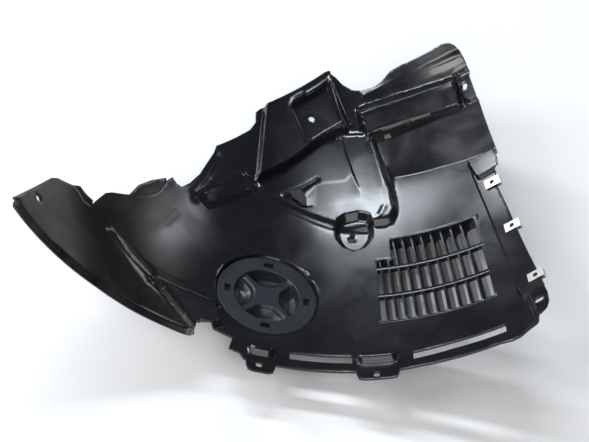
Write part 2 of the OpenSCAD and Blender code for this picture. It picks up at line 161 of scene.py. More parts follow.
# the moulding
tail = {
    "axis": -48,
    "outline": [(-68.1, .016), (-62.7, .012), (-55.4, .016), (-46.1, .022), (-38.7, .021), (-31.7, .024), (-27.3, .025),
                (-27.3, .085), (-25.4, .085), (-25.4, .73), (-27.3, .712), (-29.5, .693), (-29.8, .668), (-31.6, .583),
                (-33.2, .539), (-34.6, .514), (-35.8, .515), (-37.2, .527), (-38, .51), (-39, .464), (-40.7, .428),
                (-45.7, .376), (-48.4, .35), (-49.6, .332), (-50.9, .287), (-51.7, .252), (-53.4, .248), (-55, .262),
                (-56.6, .262), (-60.3, .232), (-61.5, .212)]}
body = {
    "axis": 5,
    "outline": [(-29.6, .058), (-26.7, .058), (-26.2, .066), (-24.7, .074), (-22.8, .068), (-20, .058), (-20.6, .016),
                (-18.6, .009), (-17.8, -.01), (-7.9, -.016), (1.7, -.018), (9.5, -.02), (13, -.016), (27.3, -.011),
                (29.4, -.017), (30.9, -.015), (32.4, -.004), (34, .005), (35.9, .008), (37.2, .019), (37.9, .04),
                (38, .07), (37.4, .123), (37, .165), (34.9, .43), (34.3, .505), (34.3, .545), (34.9, .561), (36, .568),
                (36.4, .59), (36.3, .65), (37, .804), (37.6, .894), (38.1, .935), (37.9, .955), (37.3, .973),
                 (36.3, .985), (34.9, .993), (33.1, .996),
                (19.5, .989), (16.2, .982), (13.3, .961), (10.6, .947), (7.1, .943), (4.2, .947), (1.3, .965),
                (-.5, .984), (-2, .994), (-3.8, .988), (-21.2, .854), (-22, .841), (-21.5, .812), (-22.6, .782),
                (-27.3, .722), (-29.6, .694)]}
tabs = {"arcs": [(-17.4, -12.2), (1.9, 9.4)], "s": (-.046, .008, .014, .03, .042), "up": 7,
        "holes": [(-15.1, -.022), (5.4, -.031)], "holeR": 3.4}
grille = {"arc": (6.9, 28), "topFrom": 9.8, "rows": (.165, .26, .358, .457), "notch": .388, "vanes": 11,
          "growth": 1.15, "lean": (16, 21), "vaneDeep": 15, "vaneT": 2.2, "barW": 4.5, "barDeep": 5}
slots = [{"axis": -4, "pts": [(-9.7, .017), (1.3, .013), (1.3, .04), (-9.7, .043)]},
         {"axis": 20, "pts": [(12, .011), (19, .02), (28.8, .021), (28.8, .047), (19, .045), (12, .037)]}]
cover = {"at": (-14.2, .243), "d": 106, "dish": 70, "gap": 1.6, "seatHole": 2.9}
screws = {"r": 3.6, "at": [(-62.7, .109), (-7.2, .846), (2.3, .487), (35.2, .854)]}
clips = {"r": 2.6, "at": [(34.3, .53), (35.45, .36), (37.1, .154)], "turn": -.7}

# raised and sunk areas: outline, sight axis, height, width of the slope
reliefs = {
    "plate": dict(pts=[(-20.4, .854), (-3.8, .982), (-2.2, .985), (2.3, .812), (-4.3, .779), (-12, .69), (-19, .62)],
                  axis=-9, up=12, slope=2.6),
    "shoulder": dict(pts=[(-31.5, .515), (-23, .65), (-17.8, .62), (-18.2, .6), (-24, .525), (-28, .485)], axis=-26,
                     up=2.4, slope=7),
    "flange": dict(pts=[(29.4, .6), (32.3, .134), (32.6, .11), (34.2, .1), (34.4, -.03), (40, -.03), (38, .6)],
                   axis=34, up=5, slope=3),
    "corner": dict(pts=[(33.6, .1), (34.6, .02), (34.6, -.03), (40, -.03), (40, .105), (36.4, .112)], axis=34, up=9,
                   slope=5),
    "block": dict(pts=[(29.2, .634), (30.5, .552), (37.5, .558), (37.5, .634)], axis=34, up=10, slope=4),
    "holePad": dict(pts=[(34.5, .887), (33.3, .829), (34.6, .808), (38.5, .803), (38.9, .887)], axis=34, up=3, slope=2),
    "pad": dict(pts=[(-37.2, .16), (-27.6, .03), (-22.2, .086), (-23.6, .158)], axis=-30, up=6, slope=4),
    "swage": dict(pts=[(-46.4, .226), (-41.8, .214), (-37.2, .201), (-30.9, .194), (-23.6, .168), (-22.8, .158),
                       (-23.6, .15), (-37, .15), (-41.4, .182)], axis=-30, up=4, slope=4),
}
sunk = {
    "pocket": dict(pts=[(-13.4, .864), (-2.8, .945), (.9, .831), (-4, .797), (-8, .762)], axis=-9, up=-7, slope=2),
    "boss": dict(pts=[(-1.2, .505), (-.6, .535), (1, .55), (3.8, .554), (6.2, .54), (6.9, .515), (6.6, .475),
                      (5, .442), (2.6, .43), (.4, .445), (-.9, .475)], axis=2.3, up=-8, slope=6.5),
}
# the platform: its foot, and the recess in it whose floor falls away under the plate
platform = {"up": 6, "slope": 6.5,
            "foot": [(-19, .6), (-17.1, .581), (-10.7, .555), (-6.4, .533), (-1.3, .511), (7, .503), (9.8, .502),
                     (11.4, .512), (12.4, .54), (12.6, .57), (12.1, .62), (11.2, .68), (9.9, .76), (9.2, .81), (1, .82),
                     (-6, .775), (-19.5, .64)],
            "recess": [(-18.4, .622), (-15.6, .602), (-11.6, .588), (-9.8, .58), (-8.6, .564), (-7, .566), (-3.7, .574),
                       (2.4, .585), (4.4, .592), (4.9, .605), (4.7, .63), (3.5, .682), (2, .75), (1, .8), (-4.3, .79),
                       (-12, .7), (-19, .64)],
            "low": [(-8.6, .562), (-7, .566), (-3.7, .574), (2.4, .585), (4.4, .592)],
            "side": [(4.4, .592), (4.9, .605), (4.7, .63), (3.5, .682), (2, .75), (1, .8)]}
# the long rib: foot, front edge, crest and back foot, each a share over the arch, and its height
rib = {"at": (5.4, 7, 11, 16.5, 24.7, 33.4), "foot": (.768, .772, .786, .797, .805, .799),
       "front": (.776, .782, .797, .807, .812, .806), "crest": (.841, .847, .859, .869, .877, .874),
       "back": (.892, .898, .908, .914, .911, .902), "up": (14, 13.8, 13, 11.7, 9.5, 7.2)}
# the step along the top flange opens like a wedge
wedge = {"at": (6.9, 14, 20, 27.7, 34.9, 39), "low": (.924, .940, .947, .950, .945, .94),
         "high": (.9245, .951, .961, .966, .965, .957), "up": (0, 1.2, 2.2, 3.2, 4, 4.4)}
# narrow ridges and grooves: a line, a height and a width
lines = {
    "wedgeFold": dict(pts=[(7.5, .926), (14, .940), (20, .946), (27.7, .949), (37.5, .940)], up=1.3, wide=3.2),
    "padGap": dict(pts=[(33.9, .9), (34, .88), (33.4, .85), (32.9, .815)], up=-2.6, wide=2.2),
    "padGapTop": dict(pts=[(33.8, .9), (35.5, .905), (38, .902)], up=-2.4, wide=2.4),
    "hoodLip": dict(pts=[(-12.4, .6), (-9.6, .622), (-6.4, .652), (-5, .668)], up=1.3, wide=1.8),
    "shoulderOne": dict(pts=[(-31.1, .5), (-30.7, .514), (-28.1, .574), (-23, .637), (-21.6, .65)], up=.7, wide=5),
    "shoulderTwo": dict(pts=[(-25.4, .535), (-22.6, .566), (-19.6, .59), (-17.6, .6)], up=.7, wide=5),
    "lip": dict(pts=[(-31.9, .52), (-30.1, .579), (-29.5, .628), (-28.9, .663)], up=.8, wide=4),
    "dent": dict(pts=[(-35.8, .374), (-34.3, .424)], up=.4, wide=4),
    "pocketLeft": dict(pts=[(-10.2, .9), (-13, .878), (-13.4, .862), (-12.6, .84), (-8.6, .768), (-7.6, .76)], up=1.5,
                       wide=2.4),
    "pocketTop": dict(pts=[(-12, .882), (-3.2, .949), (-2.2, .944)], up=.8, wide=2.4),
    "pocketRight": dict(pts=[(-2.3, .944), (1.3, .832)], up=1, wide=2.2),
    "crest": dict(pts=[(6, .846), (11.7, .858), (17.6, .868), (26.6, .875), (33, .873)], up=.8, wide=2.8),
    "ribBack": dict(pts=[(6.1, .892), (17.7, .911), (26.5, .909), (33, .9)], up=.6, wide=2),
    "footLine": dict(pts=[(-22.1, .583), (-17.1, .577), (-10.7, .553), (-6.4, .531), (-1.5, .508)], up=.7, wide=2.6),
    "channelLine": dict(pts=[(8.6, .53), (9.8, .56), (9.9, .62), (8.6, .73), (7.6, .775)], up=.8, wide=2.6),
    "padEdge": dict(pts=[(-36.9, .144), (-34, .125), (-30.7, .079), (-27.2, .029)], up=1.3, wide=2.6),
    "swageEdge": dict(pts=[(-46.4, .226), (-41.8, .2), (-37.2, .156)], up=1.3, wide=5),
    "twin": dict(pts=[(-2.6, .955), (2.4, .826)], up=1.4, wide=1.8),
    "twinTwo": dict(pts=[(-1.2, .96), (3.3, .838)], up=1.2, wide=1.5),
}

creases = {
    "upper": dict(pts=[(10.6, .672), (11.7, .671), (16.3, .669), (23.4, .666), (29.3, .657), (36.2, .65)], up=-4,
                  wide=30, fade=14),
}


def tabBox(a0, a1, s0, s1):
    # a tab is narrower at its tip
    mid = s0 + .022
    return flat([(a0 + 1.3, s0), (a1 - 1.3, s0), (a1 - .4, s0 + .004), (a1, mid), (a1, s1), (a0, s1), (a0, mid),
                 (a0 + .4, s0 + .004)])


def corners(p, n=6):
    # a closed outline with its sides split, the corners kept
    out = []
    for i in range(len(p)):
        a, b = p[i], p[(i + 1) % len(p)]
        k = max(1, int(np.hypot(*(b - a)) / n))
        out += [a + (b - a) * t / k for t in range(k)]
    return np.array(out)


def over(p, table, key):
    # a row of a table read at the angle of each point
    return np.interp(np.degrees(p[:, 0] / flatR), table["at"], table[key])


def ribHeight(p):
    share = p[:, 1] / arch["reach"]
    foot, front, crest, back = (over(p, rib, k) for k in ("foot", "front", "crest", "back"))
    front = front - .002
    rise = ramp((share - foot) / (front - foot))
    fall = np.clip((back - share) / (back - crest), 0, 1)
    ends = flat([(5.2, .86), (7, .77), (33.7, .88), (32.9, .8)])
    left = ends[0, 0] + (p[:, 1] - ends[0, 1]) / (ends[1, 1] - ends[0, 1]) * (ends[1, 0] - ends[0, 0])
    right = ends[2, 0] + (p[:, 1] - ends[2, 1]) / (ends[3, 1] - ends[2, 1]) * (ends[3, 0] - ends[2, 0])
    side = ramp((p[:, 0] - left) / 3) * ramp((right - p[:, 0]) / 3.5)
    return over(p, rib, "up") * np.minimum(rise, fall ** .8) * side


def platformHeight(p):
    f = platform
    h = f["up"] * ramp(signedDistance(p, f["flatFoot"]) / f["slope"])
    h *= .4 + .6 * ramp((np.degrees(p[:, 0] / flatR) - 1) / 6)
    inside = signedDistance(p, f["flatRecess"])
    low, side = lineDistance(p, flat(f["low"])), lineDistance(p, flat(f["side"]))
    cone = h - 8 * np.clip(low / 70, 0, 1) ** 1.5
    steep = h * (1 - ramp(inside / 2.6)) - 6 * np.clip((low - 14) / 50, 0, 1)
    turn = ramp((np.degrees(p[:, 0] / flatR) + 8.2) / 3)
    floor = steep + (cone - steep) * turn
    wall = ramp(side / 2.2) * (inside > 0) * ramp(inside / 1.2 + .4)
    return np.where(inside > 0, h + (np.minimum(floor, h + 1) - h) * wall, h)


def coverFrame():
    # the plane that touches the face at the cover, as part.scad's on_face
    v = cover["at"][1] * arch["reach"]
    turn = turnY(-cover["at"][0]) @ turnX(math.degrees(math.atan(leanAt(v))))
    a = math.radians(cover["at"][0])
    return turn, np.array([rho(v) * math.sin(a), v, -rho(v) * math.cos(a)])


def onCover(p):
    a, v = p[:, 0] / flatR, p[:, 1]
    turn, centre = coverFrame()
    return (np.stack([rho(v) * np.sin(a), v, -rho(v) * np.cos(a)], -1) - centre) @ turn


def tailEdge(a0, a1):
    return flat([(a0, .016), (-62.7, .012), (-55.4, .016), (-46.1, .022), (-38.7, .021), (-31.7, .024), (a1, .025)])


def relief(p):
    up = np.zeros(len(p))
    for f in reliefs.values():
        d = signedDistance(p, f["flat"])
        up = np.maximum(up, f["up"] * ramp(d / f["slope"] + 0.15))
    raised = platformHeight(p)
    up = np.where((raised < 0) & (up < 1), raised, np.maximum(up, raised))
    up = np.maximum(up, ribHeight(p))
    share = p[:, 1] / arch["reach"]
    low, high = over(p, wedge, "low"), over(p, wedge, "high")
    up += over(p, wedge, "up") * ramp((share - low) / (high - low))
    for a0, a1 in tabs["arcs"]:
        d = signedDistance(p, tabBox(a0, a1, tabs["s"][1], tabs["s"][4]))
        up = np.maximum(up, tabs["up"] * ramp(d / 4.5 + 0.1))
    for f in sunk.values():
        d = signedDistance(p, f["flat"])
        up = up + f["up"] * ramp(d / f["slope"] + 0.15)
    for f in lines.values():
        up += f["up"] * np.exp(-(lineDistance(p, flat(f["pts"])) / f["wide"]) ** 2)
    # the fold where the floor of the arch turns up into its wall
    for f in creases.values():
        line = flat(f["pts"])
        along = np.clip((p[:, 0] - line[0, 0]) / f["fade"], 0, 1) * np.clip((line[-1, 0] + 9 - p[:, 0]) / 4, 0, 1)
        up += f["up"] * ramp(along) * np.exp(-np.abs(p[:, 1] - np.interp(p[:, 0], line[:, 0], line[:, 1])) / f["wide"])
    # the flat seat of the cover
    q = onCover(p)
    r = np.hypot(q[:, 0], q[:, 1])
    up -= (up + q[:, 2] + arch["wall"]) * ramp((cover["d"] / 2 + cover["gap"] - r) / 0.7)
    # the lower edge of the tail turns down
    edge = tailEdge(-66.5, -27.9)
    up -= 5 * ramp(1 - lineDistance(p, edge) / 4)
    return up


def makeSheet():
    for f in list(reliefs.values()) + list(sunk.values()):
        f["flat"] = alongSight(f["pts"], f["axis"], 4.0)
    platform["flatFoot"] = resampled(flat(platform["foot"]), 4, True)
    platform["flatRecess"] = resampled(flat(platform["recess"]), 3, True)
    outers = [alongSight(tail["outline"], tail["axis"], 2.2), alongSight(body["outline"], body["axis"], 2.2)]
    outers += [corners(tabBox(a0, a1, tabs["s"][0], tabs["s"][4]), 2) for a0, a1 in tabs["arcs"]]
    g = grille
    holes = [corners(flat([(g["arc"][0], g["rows"][0]), (g["arc"][1], g["rows"][0]), (g["arc"][1] - .6, g["rows"][3]),
                           (g["topFrom"], g["rows"][3]), (g["topFrom"], g["notch"]), (g["arc"][0], g["notch"])]), 2.5)]
    holes += [alongSight(f["pts"], f["axis"], 2.5) for f in slots]
    holes += [rimEllipse(at, screws["r"]) for at in screws["at"]]
    holes += [rimEllipse(at, tabs["holeR"]) for at in tabs["holes"]]
    holes += [rimEllipse((at[0] + clips["turn"], at[1]), clips["r"], 20) for at in clips["at"]]
    holes.append(rimEllipse(cover["at"], cover["dish"] / 2 + cover["seatHole"], 72))
    corner = rimEllipse((36.2, .055), 3, 24)
    corner[:, 0] += np.where(corner[:, 0] > corner[:, 0].mean(), 2, -2)
    holes.append(corner)
    pts, edges = [], []

    def addLoop(loop):
        n0 = len(pts)
        pts.extend(loop.tolist())
        edges.extend((n0 + i, n0 + (i + 1) % len(loop)) for i in range(len(loop)))

    for loop in outers + holes:
        addLoop(loop)
    fixed = np.array(pts)
    # rings of points along every slope
    ring = []
    for f in list(reliefs.values()) + list(sunk.values()):
        w = f["slope"]
        for d in (-.15 * w - 1, -.15 * w, .2 * w, .5 * w, .85 * w, .85 * w + 1.2):
            ring.append(resampled(offsetOutline(resampled(f["flat"], 5, True), d), 1.8, True))
    for d in (0, 1.6, 3.3, 5, 6.5):
        ring.append(resampled(offsetOutline(platform["flatFoot"], d), 2.2, True))
    for d in (-1.6, -.6, 0, .8, 1.6, 2.6, 4):
        ring.append(resampled(offsetOutline(platform["flatRecess"], d), 1.6, True))
    ribRows = {"foot": (-1, 0, 1.6), "front": (-1.5, 0, 1.5), "crest": (-1.6, 0, 1.6), "back": (-1.2, 0, 1.2)}
    for key, more in ((k, m) for k, row in ribRows.items() for m in row):
        ring.append(resampled(flat(list(zip(rib["at"], rib[key]))) + [0, more], 2, False))
    for key in ("low", "high"):
        for more in (-.8, 0, .8):
            ring.append(resampled(flat(list(zip(wedge["at"], wedge[key]))) + [0, more], 2, False))
    for f in lines.values():
        for d in (-1.6, -.8, 0, .8, 1.6):
            line = resampled(flat(f["pts"]), 1.8, False)
            lean = np.gradient(line, axis=0)
            lean = np.stack([-lean[:, 1], lean[:, 0]], -1) / np.hypot(*lean.T)[:, None]
            ring.append(line + lean * d * f["wide"])
    for f in creases.values():
        ring += [resampled(flat(f["pts"]), 2, False) + [0, d] for d in (-1.2, 0, 1.2)]
    for a0, a1 in tabs["arcs"]:
        box = tabBox(a0, a1, tabs["s"][1], tabs["s"][4])
        for d in (-1, 0, 1.5, 3, 4.5):
            ring.append(resampled(offsetOutline(box, d), 1.5, True))
    for r in (cover["d"] / 2 + k for k in (2.6, 1.7, .8, 0)):
        ring.append(rimEllipse(cover["at"], r, 150))
    edge = tailEdge(-66.8, -27.5)
    for d in (.8, 1.6, 2.4, 3.2, 4.4):
        ring.append(resampled(edge + [0, d], 2, False))
    ring = np.vstack(ring)
    lo, hi = fixed.min(0), fixed.max(0)
    step = 2.8
    gx, gy = np.meshgrid(np.arange(lo[0], hi[0], step), np.arange(lo[1], hi[1], step * .87))
    gx[1::2] += step / 2
    grid = np.stack([gx.ravel(), gy.ravel()], -1)

    def thinned(new, old, apart):
        # keeps the new points that are not close to the old ones, by buckets
        cell = {}
        for q in old:
            cell.setdefault((int(q[0] // apart), int(q[1] // apart)), []).append(q)
        keep = []
        for q in new:
            i, j = int(q[0] // apart), int(q[1] // apart)
            near = [r for a in (-1, 0, 1) for b in (-1, 0, 1) for r in cell.get((i + a, j + b), ())]
            if all((q[0] - r[0]) ** 2 + (q[1] - r[1]) ** 2 > apart * apart for r in near):
                keep.append(q)
                cell.setdefault((i, j), []).append(q)
        return np.array(keep)

    inner = np.zeros(len(ring), bool)
    for o in outers:
        inner |= signedDistance(ring, o) > .3
    ring = thinned(ring[inner], fixed, .45)
    inner = np.zeros(len(grid), bool)
    for o in outers:
        inner |= signedDistance(grid, o) > .5
    grid = thinned(grid[inner], np.vstack([fixed, ring]), 1.7)
    every = np.vstack([fixed, ring, grid])
    got = geometry.delaunay_2d_cdt([Vector(q) for q in every], edges, [], 0, 1e-5)
    flatPts = np.array([tuple(q) for q in got[0]])
    tris = np.array([f for f in got[2] if len(f) == 3])
    mid = flatPts[tris].mean(1)
    keep = np.zeros(len(tris), bool)
    for o in outers:
        keep |= signedDistance(mid, o) > 0
    for h in holes:
        keep &= signedDistance(mid, h) < 0
    tris = tris[keep]
    a, b, c = flatPts[tris[:, 0]], flatPts[tris[:, 1]], flatPts[tris[:, 2]]
    area = (b[:, 0] - a[:, 0]) * (c[:, 1] - a[:, 1]) - (b[:, 1] - a[:, 1]) * (c[:, 0] - a[:, 0])
    tris[area < 0] = tris[area < 0][:, ::-1]
    used = np.unique(tris)
    remap = np.full(len(flatPts), -1)
    remap[used] = np.arange(len(used))
    q = flatPts[used]
    mesh = bpy.data.meshes.new("moulding")
    mesh.from_pydata(bent(q, relief(q)).tolist(), [], remap[tris].tolist())
    mesh.update()
    obj = bpy.data.objects.new("moulding", mesh)
    bpy.context.scene.collection.objects.link(obj)
    return obj


def only(obj):
    bpy.ops.object.select_all(action="DESELECT")
    obj.select_set(True)
    bpy.context.view_layer.objects.active = obj


def applyAll(obj):
    only(obj)
    for m in list(obj.modifiers):
        bpy.ops.object.modifier_apply(modifier=m.name)


moulding = makeSheet()
print("stage: sheet", len(moulding.data.vertices), "points", len(moulding.data.polygons), "faces")
solid = moulding.modifiers.new("wall", "SOLIDIFY")
solid.thickness = arch["wall"] * mm
solid.offset = -1
soft = moulding.modifiers.new("rim", "BEVEL")
soft.limit_method = "ANGLE"
soft.angle_limit = math.radians(66)
soft.width = 0.5 * mm
soft.segments = 2
applyAll(moulding)
only(moulding)
bpy.ops.object.shade_smooth_by_angle(angle=math.radians(50))
print("stage: moulding", len(moulding.data.polygons), "faces")


def sweptPlate(name, deg, s0, s1, thick, deep, lean=0, n=14, across=None):
    # a plate that follows the arch from share s0 to s1 at one angle, or across the arch
    verts, faces = [], []
    for i in range(n + 1):
        if across is None:
            v = (s0 + (s1 - s0) * i / n) * arch["reach"]
            half = thick / 2
            ring = []
            for d, side in ((0, -1), (0, 1), (deep, 1), (deep, -1)):
                r = rho(v) + d
                base = np.array([side * half + math.tan(math.radians(lean)) * (r - arch["r"]), v, -r])
                ring.append(turnY(-deg) @ base)
        else:
            a = math.radians(across[0] + (across[1] - across[0]) * i / n)
            ring = []
            for d, s in ((0, s0), (0, s1), (deep, s1), (deep, s0)):
                r = rho(s * arch["reach"]) + d
                ring.append(np.array([r * math.sin(a), s * arch["reach"], -r * math.cos(a)]))
        verts += [settled(p) for p in ring]
    for i in range(n):
        k = i * 4
        for j in range(4):
            faces.append((k + j, k + (j + 1) % 4, k + 4 + (j + 1) % 4, k + 4 + j))
    faces += [(3, 2, 1, 0), (n * 4, n * 4 + 1, n * 4 + 2, n * 4 + 3)]
    mesh = bpy.data.meshes.new(name)
    mesh.from_pydata([tuple(v) for v in verts], [], faces)
    mesh.update()
    obj = bpy.data.objects.new(name, mesh)
    bpy.context.scene.collection.objects.link(obj)
    only(obj)
    bpy.ops.object.mode_set(mode="EDIT")
    bpy.ops.mesh.select_all(action="SELECT")
    bpy.ops.mesh.normals_make_consistent(inside=False)
    bpy.ops.object.mode_set(mode="OBJECT")
    return obj


def joined(name, objs):
    bpy.ops.object.select_all(action="DESELECT")
    for o in objs:
        o.select_set(True)
    bpy.context.view_layer.objects.active = objs[0]
    bpy.ops.object.join()
    objs[0].name = name
    return objs[0]


def makeGrille():
    g = grille
    e = arch["wall"] / arch["reach"]
    d = math.degrees(arch["wall"] / arch["r"])
    parts = []
    for i in range(1, g["vanes"]):
        deg = g["arc"][0] + (g["arc"][1] - g["arc"][0]) * (i / g["vanes"]) ** g["growth"]
        top = g["notch"] if deg < g["topFrom"] - 1 else g["rows"][3]
        parts.append(sweptPlate("vane", deg, g["rows"][0] - e, top + e, g["vaneT"], g["vaneDeep"],
                                np.interp(i, (1, g["vanes"] - 1), g["lean"])))
    for r in (1, 2):
        w = g["barW"] / 2 / arch["reach"]
        parts.append(sweptPlate("bar", 0, g["rows"][r] - w, g["rows"][r] + w, 0, g["barDeep"], n=24,
                                across=(g["arc"][0] - .3, g["arc"][1] + .3)))
    # walls that hang behind the face round the window
    for a, s1 in ((g["arc"][0] - d / 2, g["notch"]), (g["arc"][1] + d / 2, g["rows"][3]),
                  (g["topFrom"] - d / 2, g["rows"][3])):
        s0 = g["notch"] if a > g["arc"][0] and a < g["topFrom"] else g["rows"][0]
        parts.append(sweptPlate("side", a, s0 - e, s1 + e, arch["wall"], g["vaneDeep"]))
    for s, a0, a1 in ((g["rows"][0] - e, g["arc"][0], g["arc"][1]), (g["rows"][3], g["topFrom"], g["arc"][1]),
                      (g["notch"], g["arc"][0], g["topFrom"])):
        parts.append(sweptPlate("edge", 0, s, s + e, 0, g["vaneDeep"], n=24, across=(a0 - d, a1 + d)))
    obj = joined("grille", parts)
    soft = obj.modifiers.new("soft", "BEVEL")
    soft.width = .35 * mm
    soft.segments = 2
    soft.limit_method = "ANGLE"
    applyAll(obj)
    only(obj)
    bpy.ops.object.shade_smooth_by_angle(angle=math.radians(35))
    return obj


# the flap and the bracket that hang behind the edge of the tail
behind = {"axis": -48, "step": 3.2, "wall": 1.6,
          "flap": [(-45.2, .36), (-44.4, .402), (-43.4, .443), (-41, .487), (-38.3, .52), (-37.4, .496), (-39.3, .42),
                   (-41.5, .355)],
          "bracket": [(-57, .24), (-56.3, .272), (-54.9, .29), (-53, .284), (-51.3, .284), (-51, .225), (-54, .218)]}


def makeBehind(name):
    edge = alongSight(behind[name], behind["axis"], behind["step"])
    lo, hi = edge.min(0), edge.max(0)
    gx, gy = np.meshgrid(np.arange(lo[0], hi[0], behind["step"]), np.arange(lo[1], hi[1], behind["step"]))
    grid = np.stack([gx.ravel(), gy.ravel()], -1)
    grid = grid[signedDistance(grid, edge) > 1.2]
    loop = [(i, (i + 1) % len(edge)) for i in range(len(edge))]
    got = geometry.delaunay_2d_cdt([Vector(q) for q in np.vstack([edge, grid])], loop, [], 1, 1e-5)
    mesh = bpy.data.meshes.new(name)
    place = bent(np.array([tuple(q) for q in got[0]]), -arch["wall"] * .9)
    mesh.from_pydata(place.tolist(), [], [tuple(f) for f in got[2]])
    mesh.update()
    obj = bpy.data.objects.new(name, mesh)
    bpy.context.scene.collection.objects.link(obj)
    wall = obj.modifiers.new("wall", "SOLIDIFY")
    wall.thickness = behind["wall"] * mm
    wall.offset = -1
    soft = obj.modifiers.new("soft", "BEVEL")
    soft.width = .35 * mm
    soft.segments = 2
    soft.limit_method = "ANGLE"
    applyAll(obj)
    only(obj)
    bpy.ops.object.shade_smooth_by_angle(angle=math.radians(40))
    return obj


vents = makeGrille()
hangers = [makeBehind("flap"), makeBehind("bracket")]
print("stage: grille", len(vents.data.polygons), "faces")

# the cover: a flange, a dish, and a raised middle with four arms between four hollows
dish = {"mid": 12.6, "arm": 2.6, "top": .6, "floor": -8.8, "slope": 3.4, "wall": 2, "turns": 220}
window = {"wide": 10, "deep": 6.5, "from": 1.25}
lug = {"wide": 10, "long": 10.6, "thick": 2.2, "down": -4.2, "out": 3.1}


def coverHeight(x, y):
    r = np.hypot(x, y)
    # distance outside the square middle and the arms
    square = np.hypot(np.maximum(np.abs(x) - dish["mid"] + 2, 0), np.maximum(np.abs(y) - dish["mid"] + 2, 0)) - 2
    u, w = (x + y) / math.sqrt(2), (x - y) / math.sqrt(2)
    arm = np.minimum(np.abs(u) - dish["arm"] * (1 - (np.abs(w) - 26) / 90),
                     np.abs(w) - dish["arm"] * (1 - (np.abs(u) - 26) / 90))
    # rounded where the middle meets an arm
    k = 4.0
    h = np.clip(.5 + .5 * (arm - square) / k, 0, 1)
    out = arm * (1 - h) + square * h - k * h * (1 - h)
    depth = dish["top"] - dish["floor"]
    bowl = dish["top"] - depth * ramp(out / dish["slope"]) * (.4 + .6 * ramp(out / 11))
    inside = cover["dish"] / 2 - r
    wall = ramp(inside / 2.0)
    # the hollows rise a little toward the wall of the dish
    bowl += 1.2 * ramp((r - 26) / 9) * ramp(out / 3)
    return np.where(inside > 0, arch["wall"] + (bowl - arch["wall"]) * wall, arch["wall"])


def makeCover():
    turns, rings = dish["turns"], [.5]
    while rings[-1] < cover["d"] / 2 - .05:
        r = rings[-1]
        rings.append(min(cover["d"] / 2, r + (.45 if 32 < r < 36 or r > 51.6 else .8)))
    verts, faces = [(0, 0)], []
    for r in rings:
        verts += [(r * math.cos(a), r * math.sin(a)) for a in np.arange(turns) / turns * 2 * math.pi]
    flatXY = np.array(verts)
    z = coverHeight(flatXY[:, 0], flatXY[:, 1])
    edge = np.hypot(*flatXY.T) - (cover["d"] / 2 - .9)
    z = z - np.where(edge > 0, .9 - np.sqrt(np.maximum(.81 - np.minimum(edge, .9) ** 2, 0)), 0)
    for i in range(turns):
        faces.append((0, 1 + i, 1 + (i + 1) % turns))
    for k in range(len(rings) - 1):
        a, b = 1 + k * turns, 1 + (k + 1) * turns
        for i in range(turns):
            j = (i + 1) % turns
            faces.append((a + i, b + i, b + j, a + j))
    mesh = bpy.data.meshes.new("cover")
    mesh.from_pydata(np.column_stack([flatXY, z]).tolist(), [], faces)
    mesh.update()
    obj = bpy.data.objects.new("cover", mesh)
    bpy.context.scene.collection.objects.link(obj)
    wall = obj.modifiers.new("wall", "SOLIDIFY")
    wall.thickness = dish["wall"]
    wall.offset = -1
    cutters = []
    spigot = cover["dish"] / 2 + arch["wall"]
    for k in range(4):
        c, s = math.cos(k * math.pi / 2), math.sin(k * math.pi / 2)
        bpy.ops.object.select_all(action="DESELECT")
        at = spigot + window["from"] + window["deep"] / 2
        bpy.ops.mesh.primitive_cube_add(size=1, location=(at * c, at * s, 1))
        cut = bpy.context.object
        sides = (window["deep"], window["wide"])
        cut.scale = (*(sides if k % 2 == 0 else sides[::-1]), 8)
        bpy.ops.object.transform_apply(location=True, rotation=False, scale=True)
        cutters.append(cut)
    cutter = joined("windows", cutters)
    gap = obj.modifiers.new("windows", "BOOLEAN")
    gap.operation = "DIFFERENCE"
    gap.object = cutter
    gap.solver = "EXACT"
    applyAll(obj)
    bpy.data.objects.remove(cutter)
    # the bayonet lugs behind the windows
    lugs = [obj]
    for k in range(4):
        c, s = math.cos(k * math.pi / 2), math.sin(k * math.pi / 2)
        at = spigot + lug["out"]
        bpy.ops.object.select_all(action="DESELECT")
        bpy.ops.mesh.primitive_cube_add(size=1, location=(at * c, at * s, lug["down"]))
        piece = bpy.context.object
        sides = (lug["long"], lug["wide"])
        piece.scale = (*(sides if k % 2 == 0 else sides[::-1]), lug["thick"])
        bpy.ops.object.transform_apply(location=True, rotation=False, scale=True)
        lugs.append(piece)
    obj = joined("cover", lugs)
    turn, centre = coverFrame()
    local = np.array([tuple(v.co) for v in obj.data.vertices]) + [0, 0, -arch["wall"] + .2]
    place = settled(local @ turn.T + centre)
    for v, q in zip(obj.data.vertices, place):
        v.co = q
    only(obj)
    bpy.ops.object.shade_smooth_by_angle(angle=math.radians(40))
    return obj


lid = makeCover()
print("stage: cover", len(lid.data.polygons), "faces")

for obj in (moulding, vents, *hangers):
    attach(obj, "liner")
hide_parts("arch_liner")
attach(lid, "cover")
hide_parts("access_cover")


# materials
def groupNode(nodes, group):
    node = nodes.new("ShaderNodeGroup")
    node.node_tree = group
    return node


def ranged(nodes, links, source, low, high, to=(0, 1)):
    node = nodes.new("ShaderNodeMapRange")
    for name, value in zip(("From Min", "From Max", "To Min", "To Max"), (low, high, *to)):
        node.inputs[name].default_value = value
    links.new(source, node.inputs["Value"])
    return node.outputs["Result"]


